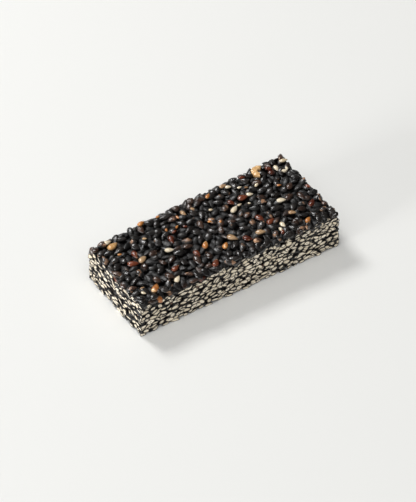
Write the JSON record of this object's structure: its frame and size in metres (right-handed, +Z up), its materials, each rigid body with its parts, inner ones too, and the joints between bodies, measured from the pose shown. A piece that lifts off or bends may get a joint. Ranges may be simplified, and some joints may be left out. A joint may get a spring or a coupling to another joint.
{
  "type": "black sesame bar",
  "caption": "Hand-cut block of whole black sesame seeds set in syrup, knobbly with plump seeds on top and cut clean down its four sides.",
  "frame": {"origin": "under the middle of the bar, on the surface it rests on", "axes": "+X along the bar's length towards its wider end, +Y across it towards the back, +Z up out of the seeded top"},
  "size_m": [0.0635, 0.0277, 0.0136],
  "materials": {
    "sesame_bar": "satin-gloss black seeds in a thin dark syrup, with cream cut kernels on the sides"
  },
  "bodies": {
    "root": {"sesame_bar": "sesame_bar"}
  },
  "joints": []
}
